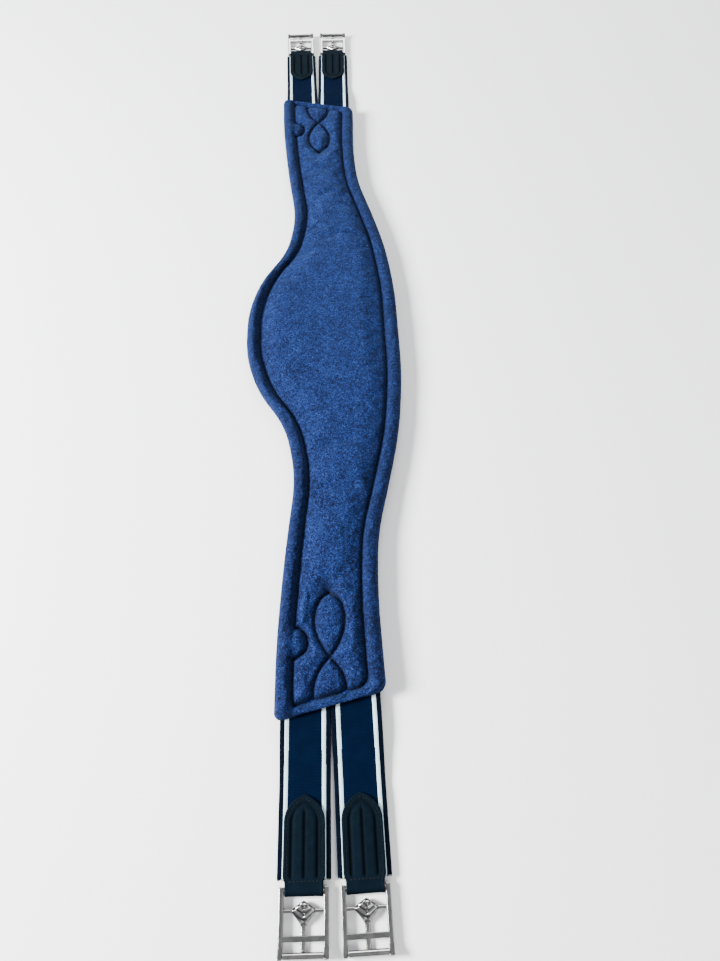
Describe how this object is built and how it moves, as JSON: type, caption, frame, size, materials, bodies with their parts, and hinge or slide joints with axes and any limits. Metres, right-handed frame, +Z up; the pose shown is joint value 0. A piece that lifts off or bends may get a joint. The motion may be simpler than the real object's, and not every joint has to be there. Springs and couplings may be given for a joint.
{
  "type": "saddle girth",
  "caption": "Contoured padded saddle girth with striped elastic straps, leather chapes and roller buckles at both ends.",
  "frame": {"origin": "on the floor under the middle of the girth, which lies open on its outer side", "axes": "+Y along the girth, +X towards the horse's rear, +Z up out of the padded horse side"},
  "size_m": [0.166, 1.1506, 0.017],
  "materials": {
    "lining_fabric": "brushed navy felt-like lining with a mottled nap",
    "roll_fabric": "brushed navy fabric drawn over a padded roll",
    "piping_fabric": "brushed navy fabric, stitched end piping",
    "cover_fabric": "navy woven outer cover",
    "foam": "closed padding foam",
    "webbing": "woven black webbing",
    "elastic_weave": "woven black elastic with two white stripes",
    "leather": "smooth black leather, stitched",
    "frame_metal": "polished stainless steel",
    "tongue_metal": "polished stainless steel",
    "roller_metal": "polished stainless steel"
  },
  "bodies": {
    "belly": {"cover_centre": "cover_fabric", "foam_centre": "foam", "lining_centre": "lining_fabric", "webbing_centre": "webbing", "roll_front_centre": "roll_fabric", "roll_rear_centre": "roll_fabric"},
    "near_side": {"cover_near": "cover_fabric", "foam_near": "foam", "lining_near": "lining_fabric", "webbing_near": "webbing", "roll_front_near": "roll_fabric", "roll_rear_near": "roll_fabric", "piping_near": "piping_fabric", "anchors_near": "elastic_weave"},
    "far_side": {"cover_far": "cover_fabric", "foam_far": "foam", "lining_far": "lining_fabric", "webbing_far": "webbing", "roll_front_far": "roll_fabric", "roll_rear_far": "roll_fabric", "piping_far": "piping_fabric", "anchors_far": "elastic_weave"},
    "strap_near_front": {"elastic_near_front": "elastic_weave"},
    "strap_end_near_front": {"chape_near_front": "leather"},
    "frame_near_front": {"rails_near_front": "frame_metal", "crossbars_near_front": "frame_metal"},
    "swing_near_front": {"tongue_near_front": "tongue_metal"},
    "spin_near_front": {"roller_near_front": "roller_metal"},
    "strap_near_rear": {"elastic_near_rear": "elastic_weave"},
    "strap_end_near_rear": {"chape_near_rear": "leather"},
    "frame_near_rear": {"rails_near_rear": "frame_metal", "crossbars_near_rear": "frame_metal"},
    "swing_near_rear": {"tongue_near_rear": "tongue_metal"},
    "spin_near_rear": {"roller_near_rear": "roller_metal"},
    "strap_far_front": {"elastic_far_front": "elastic_weave"},
    "strap_end_far_front": {"chape_far_front": "leather"},
    "frame_far_front": {"rails_far_front": "frame_metal", "crossbars_far_front": "frame_metal"},
    "swing_far_front": {"tongue_far_front": "tongue_metal"},
    "spin_far_front": {"roller_far_front": "roller_metal"},
    "strap_far_rear": {"elastic_far_rear": "elastic_weave"},
    "strap_end_far_rear": {"chape_far_rear": "leather"},
    "frame_far_rear": {"rails_far_rear": "frame_metal", "crossbars_far_rear": "frame_metal"},
    "swing_far_rear": {"tongue_far_rear": "tongue_metal"},
    "spin_far_rear": {"roller_far_rear": "roller_metal"}
  },
  "joints": [
    {"name": "wrap_near", "type": "hinge", "parent": "belly", "child": "near_side", "pos_m": [0, -0.15, 0.017], "axis": [-1, 0, 0], "range_deg": [0, 40]},
    {"name": "wrap_far", "type": "hinge", "parent": "belly", "child": "far_side", "pos_m": [0, 0.15, 0.017], "axis": [1, 0, 0], "range_deg": [0, 40]},
    {"name": "strap_flex_near_front", "type": "hinge", "parent": "near_side", "child": "strap_near_front", "pos_m": [-0.02113, -0.408, 0.0068], "axis": [-0.9999, 0.0157, 0], "range_deg": [-70, 90], "deforming": ["elastic_near_front"]},
    {"name": "strap_stretch_near_front", "type": "slide", "parent": "strap_near_front", "child": "strap_end_near_front", "axis": [-0.0157, -0.9999, 0], "range_m": [0, 0.045], "stiffness_N_per_m": 1500, "deforming": ["elastic_near_front"]},
    {"name": "buckle_pivot_near_front", "type": "hinge", "parent": "strap_end_near_front", "child": "frame_near_front", "pos_m": [-0.02307, -0.53208, 0.0035], "axis": [-0.9999, 0.0157, 0], "range_deg": [-80, 80]},
    {"name": "tongue_swing_near_front", "type": "hinge", "parent": "frame_near_front", "child": "swing_near_front", "pos_m": [-0.02327, -0.54458, 0.0032], "axis": [0.9999, -0.0157, 0], "range_deg": [0, 150]},
    {"name": "roller_spin_near_front", "type": "hinge", "parent": "frame_near_front", "child": "spin_near_front", "pos_m": [-0.02371, -0.57258, 0.00575], "axis": [-0.9999, 0.0157, 0], "continuous": true},
    {"name": "strap_flex_near_rear", "type": "hinge", "parent": "near_side", "child": "strap_near_rear", "pos_m": [0.02113, -0.408, 0.0068], "axis": [-0.9999, -0.0157, 0], "range_deg": [-70, 90], "deforming": ["elastic_near_rear"]},
    {"name": "strap_stretch_near_rear", "type": "slide", "parent": "strap_near_rear", "child": "strap_end_near_rear", "axis": [0.0157, -0.9999, 0], "range_m": [0, 0.045], "stiffness_N_per_m": 1500, "deforming": ["elastic_near_rear"]},
    {"name": "buckle_pivot_near_rear", "type": "hinge", "parent": "strap_end_near_rear", "child": "frame_near_rear", "pos_m": [0.02307, -0.53208, 0.0035], "axis": [-0.9999, -0.0157, 0], "range_deg": [-80, 80]},
    {"name": "tongue_swing_near_rear", "type": "hinge", "parent": "frame_near_rear", "child": "swing_near_rear", "pos_m": [0.02327, -0.54458, 0.0032], "axis": [0.9999, 0.0157, 0], "range_deg": [0, 150]},
    {"name": "roller_spin_near_rear", "type": "hinge", "parent": "frame_near_rear", "child": "spin_near_rear", "pos_m": [0.02371, -0.57258, 0.00575], "axis": [-0.9999, -0.0157, 0], "continuous": true},
    {"name": "strap_flex_far_front", "type": "hinge", "parent": "far_side", "child": "strap_far_front", "pos_m": [-0.02113, 0.408, 0.0068], "axis": [0.9999, 0.0157, 0], "range_deg": [-70, 90], "deforming": ["elastic_far_front"]},
    {"name": "strap_stretch_far_front", "type": "slide", "parent": "strap_far_front", "child": "strap_end_far_front", "axis": [-0.0157, 0.9999, 0], "range_m": [0, 0.045], "stiffness_N_per_m": 1500, "deforming": ["elastic_far_front"]},
    {"name": "buckle_pivot_far_front", "type": "hinge", "parent": "strap_end_far_front", "child": "frame_far_front", "pos_m": [-0.02307, 0.53208, 0.0035], "axis": [0.9999, 0.0157, 0], "range_deg": [-80, 80]},
    {"name": "tongue_swing_far_front", "type": "hinge", "parent": "frame_far_front", "child": "swing_far_front", "pos_m": [-0.02327, 0.54458, 0.0032], "axis": [-0.9999, -0.0157, 0], "range_deg": [0, 150]},
    {"name": "roller_spin_far_front", "type": "hinge", "parent": "frame_far_front", "child": "spin_far_front", "pos_m": [-0.02371, 0.57258, 0.00575], "axis": [0.9999, 0.0157, 0], "continuous": true},
    {"name": "strap_flex_far_rear", "type": "hinge", "parent": "far_side", "child": "strap_far_rear", "pos_m": [0.02113, 0.408, 0.0068], "axis": [0.9999, -0.0157, 0], "range_deg": [-70, 90], "deforming": ["elastic_far_rear"]},
    {"name": "strap_stretch_far_rear", "type": "slide", "parent": "strap_far_rear", "child": "strap_end_far_rear", "axis": [0.0157, 0.9999, 0], "range_m": [0, 0.045], "stiffness_N_per_m": 1500, "deforming": ["elastic_far_rear"]},
    {"name": "buckle_pivot_far_rear", "type": "hinge", "parent": "strap_end_far_rear", "child": "frame_far_rear", "pos_m": [0.02307, 0.53208, 0.0035], "axis": [0.9999, -0.0157, 0], "range_deg": [-80, 80]},
    {"name": "tongue_swing_far_rear", "type": "hinge", "parent": "frame_far_rear", "child": "swing_far_rear", "pos_m": [0.02327, 0.54458, 0.0032], "axis": [-0.9999, 0.0157, 0], "range_deg": [0, 150]},
    {"name": "roller_spin_far_rear", "type": "hinge", "parent": "frame_far_rear", "child": "spin_far_rear", "pos_m": [0.02371, 0.57258, 0.00575], "axis": [0.9999, -0.0157, 0], "continuous": true}
  ]
}
